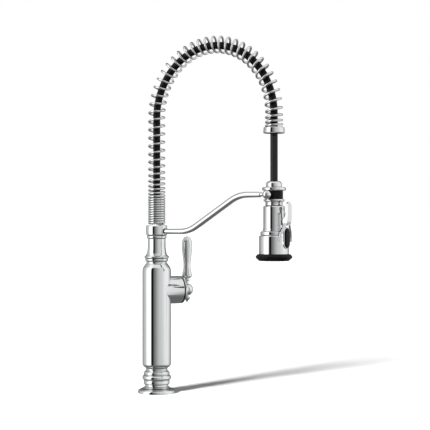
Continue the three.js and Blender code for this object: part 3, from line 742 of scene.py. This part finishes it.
# Nozzles under the head, in rings: each ring's radius, and how many it holds
nozzles = {
    "plate": [(7.2, 1.4, 0.2), (22, 1.4, 0.2), (22, 3.4), (7.2, 3.4)],
    "rings": {10.2: 12, 14: 18, 18: 24},
    "radius": 1.1, "tip": 0.75, "length": 2.4, "height": 0.6,
}


def makeSprayFace():
    low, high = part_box("spray_face")
    plate = spun(nozzles["plate"])
    for ringRadius, count in nozzles["rings"].items():
        for number in range(count):
            angle = math.tau * number / count
            nub = bmesh.new()
            bmesh.ops.create_cone(
                nub, cap_ends=True, segments=16, radius1=nozzles["tip"] * mm, radius2=nozzles["radius"] * mm,
                depth=nozzles["length"] * mm,
            )
            across, along = ringRadius * math.cos(angle), ringRadius * math.sin(angle)
            place = Vector((across, along, nozzles["height"])) * mm
            joined(plate, moved(nub, Matrix.Translation(place)))
    place = Matrix.Translation((headAxis.x, headAxis.y, low.z))
    finished(moved(plate, place), "sprayFace", "blackRubber", "spray_head", ["spray_face"])


# Spray lever: a thumb paddle on a pin, with two legs that straddle the button
paddle = {
    "side": [
        (28.2, 337.8, 0.8), (30, 337.8, 1), (31, 330, 10), (31, 314, 10), (30.3, 304, 8), (27.8, 298.2, 2),
        (24.4, 297.4, 1.5), (22.2, 300.8, 2), (21.8, 306.4, 2), (22.8, 309.6, 1.5), (26.2, 311.4, 1.5),
        (28.2, 316, 3), (28.7, 328, 10),
    ],
    "halfWidth": 7, "top": 338, "bottom": 296.6, "front": (15, 40, 0.2), "edge": 1, "edgeAngle": 50,
    "slot": {"width": 6.8, "depth": 9.1, "height": 20, "out": 23.65, "up": 304},
    "legs": [
        (5, 26.4, 302), (8.4, 26, 296.6), (12.6, 24.8, 289.2), (16.2, 23.4, 282), (17.8, 22.9, 276.4),
        (17.9, 22.8, 270.4),
    ],
    "legRadius": 2.05, "legSteps": 8,
}


def makeSprayLever():
    plate = bmesh.new()
    verts = [plate.verts.new((0, -out * mm, up * mm)) for out, up in rounded(paddle["side"], True)]
    face = plate.faces.new(verts)
    half = paddle["halfWidth"] * mm
    bmesh.ops.translate(plate, verts=plate.verts, vec=(-half, 0, 0))
    swept = bmesh.ops.extrude_face_region(plate, geom=[face])["geom"]
    far = [item for item in swept if isinstance(item, bmesh.types.BMVert)]
    bmesh.ops.translate(plate, verts=far, vec=(2 * half, 0, 0))
    bmesh.ops.recalc_face_normals(plate, faces=plate.faces)
    halfHeight = (paddle["top"] - paddle["bottom"]) / 2
    front = ovalBlock(paddle["halfWidth"], halfHeight, *paddle["front"])
    middle = (paddle["top"] + paddle["bottom"]) / 2
    moved(front, Matrix.Translation((0, 0, middle * mm)) @ Matrix.Rotation(math.radians(90), 4, "X"))
    shape = carved(plate, front, operation="INTERSECT")
    shape = carved(shape, block(paddle["slot"]))
    for hand in (-1, 1):
        corners = [Vector((hand * across, -out, up)) * mm for across, out, up in paddle["legs"]]
        points = smoothRoute(corners, paddle["legSteps"])
        joined(shape, tubeAlong(points, [paddle["legRadius"] * mm] * len(points), 6))
    piece = finished(moved(shape, toHead), "sprayLever", "polishedChrome", "spray_lever", ["spray_lever"])
    soften = piece.modifiers.new("soften", "BEVEL")
    soften.width = paddle["edge"] * mm
    soften.segments = 4
    soften.limit_method = "ANGLE"
    soften.angle_limit = math.radians(paddle["edgeAngle"])


# A smooth line through corners, with steps between each pair
def smoothRoute(corners, steps):
    points = []
    last = len(corners) - 1
    for i in range(last):
        a, b = corners[max(i - 1, 0)], corners[i]
        c, d = corners[i + 1], corners[min(i + 2, last)]
        for step in range(steps):
            t = step / steps
            bend = (2 * a - 5 * b + 4 * c - d) * t**2
            twist = (3 * b - a - 3 * c + d) * t**3
            points.append(0.5 * (2 * b + (c - a) * t + bend + twist))
    points.append(corners[last])
    return points


# Spray button and the shells that it sits in: each oval's half width, half height, back, front and edge
button = {
    "up": 277,
    "housing": (10, 18.5, 19.8, 26.2, 1.1), "recess": (8.7, 17, 21.8, 30, 0.2),
    "window": (8.9, 17.2, 15, 30, 0.2),
    "face": (8.3, 16.4, 24.6, 26.8, 0.9), "dome": (6.9, 15, 26, 28.4, 1.8),
}


def makeButton():
    housing = carved(ovalBlock(*button["housing"]), ovalBlock(*button["recess"]))
    housing = moved(housing, headPlace(button["up"]))
    finished(housing, "buttonHousing", "polishedChrome", "spray_head", ["button_housing"])
    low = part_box("lower_barrel")[0]
    shell = moved(spun(barrel["lower"], 128), Matrix.Translation((headAxis.x, headAxis.y, low.z)))
    window = moved(ovalBlock(*button["window"]), headPlace(button["up"]))
    finished(carved(shell, window), "lowerBarrel", "polishedChrome", "spray_head", ["lower_barrel"])
    face = joined(ovalBlock(*button["face"]), ovalBlock(*button["dome"]))
    face = moved(face, headPlace(button["up"]))
    finished(face, "sprayButton", "blackRubber", "spray_button", ["spray_button"])


makeBase()
makeBody()
makeNeck()
print("column made")
makeArm()
makeArch()
makeHoseEnd()
print("arm and arch made")
makeHandle()
print("handle made")
makeHeadShells()
makeSprayFace()
makeSprayLever()
makeButton()
print("spray head made")


# The frame's own nodes that aren't replaced keep their meshes and take a finish
def finishNodes():
    slots = {entry["node"]: entry["material_slot"] for entry in frame["record"]["subparts"]}
    for node, piece in frame["nodes"].items():
        piece.data.materials.clear()
        piece.data.materials.append(finishes[finishOfSlot[slots[node]]])


finishNodes()


# Studio: a pale floor, one soft lamp, and a room for the chrome to mirror. "around" has pairs of a heading in
# degrees, 0 towards the camera and 90 to its right, and how bright the room is there.
studio = {
    "floorSize": 60, "floorGap": 0.1,
    "seen": 1.0, "lighting": 0.2,
    "lamp": {"heading": -39, "height": 22, "power": 10.8, "softness": 13.5},
    "around": [
        (-180, 0.12), (-163, 0.2), (-148, 0.42), (-124, 0.7), (-98, 0.98), (-87, 1.3), (-82, 2.3),
        (-50, 2.3), (-43, 0.6), (-39, 0.008), (-26, 0.008), (-21, 0.22), (-13, 0.28), (-4, 0.42), (4, 0.56),
        (12, 0.7), (25, 0.88), (45, 0.98), (60, 1.15), (76, 1.32), (104, 1.35), (122, 0.95), (142, 0.5),
        (160, 0.22), (180, 0.12),
    ],
    "overhead": {"from": 0.6, "to": 0.95, "level": 1.2},
    "underneath": {"from": -0.02, "to": -0.8, "level": 0.2},
}


def blended(nodes, links, share, level, other):
    mix = nodes.new("ShaderNodeMix")
    links.new(share, mix.inputs["Factor"])
    links.new(level, mix.inputs["A"])
    mix.inputs["B"].default_value = other
    return mix.outputs["Result"]


def mirroredRoom(nodes, links):
    turnBack = nodes.new("ShaderNodeVectorRotate")
    turnBack.rotation_type = "Z_AXIS"
    turnBack.inputs["Angle"].default_value = -math.radians(cameraSettings["heading"] - 90)
    place = nodes.new("ShaderNodeTexCoord")
    links.new(place.outputs["Generated"], turnBack.inputs["Vector"])
    split = nodes.new("ShaderNodeSeparateXYZ")
    links.new(turnBack.outputs["Vector"], split.inputs["Vector"])
    heading = nodes.new("ShaderNodeMath")
    heading.operation = "ARCTAN2"
    links.new(split.outputs["Y"], heading.inputs[0])
    links.new(split.outputs["X"], heading.inputs[1])
    share = nodes.new("ShaderNodeMapRange")
    share.inputs["From Min"].default_value = -math.pi
    share.inputs["From Max"].default_value = math.pi
    links.new(heading.outputs["Value"], share.inputs["Value"])
    ramp = nodes.new("ShaderNodeValToRGB")
    stops = ramp.color_ramp.elements
    for angle, shade in studio["around"][1:-1]:
        stops.new((angle + 180) / 360)
    for stop, (angle, shade) in zip(stops, studio["around"]):
        stop.color = (shade, shade, shade, 1)
    links.new(share.outputs["Result"], ramp.inputs["Fac"])
    level = ramp.outputs["Color"]
    for name in ("overhead", "underneath"):
        settings = studio[name]
        fade = nodes.new("ShaderNodeMapRange")
        fade.interpolation_type = "SMOOTHSTEP"
        fade.inputs["From Min"].default_value = settings["from"]
        fade.inputs["From Max"].default_value = settings["to"]
        links.new(split.outputs["Z"], fade.inputs["Value"])
        level = blended(nodes, links, fade.outputs["Result"], level, settings["level"])
    return level


def makeFloor():
    bm = bmesh.new()
    bmesh.ops.create_grid(bm, x_segments=1, y_segments=1, size=studio["floorSize"] / 2)
    floor = looseObject(bm, "floor")
    floor.location.z = -studio["floorGap"] * mm
    floor.visible_glossy = False
    pale = bpy.data.materials.new("paleFloor")
    pale.use_nodes = True
    shader = pale.node_tree.nodes["Principled BSDF"]
    shader.inputs["Base Color"].default_value = (0.86, 0.86, 0.86, 1)
    shader.inputs["Roughness"].default_value = 0.9
    shader.inputs["Specular IOR Level"].default_value = 0
    floor.data.materials.append(pale)


def makeLamp():
    lamp = studio["lamp"]
    sun = bpy.data.lights.new("lamp", "SUN")
    sun.energy = lamp["power"]
    sun.angle = math.radians(lamp["softness"])
    holder = bpy.data.objects.new("lamp", sun)
    bpy.context.scene.collection.objects.link(holder)
    heading = math.radians(cameraSettings["heading"] + lamp["heading"])
    holder.rotation_euler = (math.radians(90 - lamp["height"]), 0, heading)
    holder.visible_glossy = False


def makeRoom():
    world = bpy.data.worlds.new("room")
    bpy.context.scene.world = world
    world.use_nodes = True
    nodes, links = world.node_tree.nodes, world.node_tree.links
    level = mirroredRoom(nodes, links)
    light = nodes.new("ShaderNodeLightPath")
    for output, name in (("Is Camera Ray", "seen"), ("Is Diffuse Ray", "lighting")):
        level = blended(nodes, links, light.outputs[output], level, studio[name])
    links.new(level, nodes["Background"].inputs["Strength"])
    nodes["Background"].inputs["Color"].default_value = (1, 1, 1, 1)
    bpy.context.scene.view_settings.view_transform = "Standard"


makeFloor()
makeLamp()
makeRoom()
print("studio made")
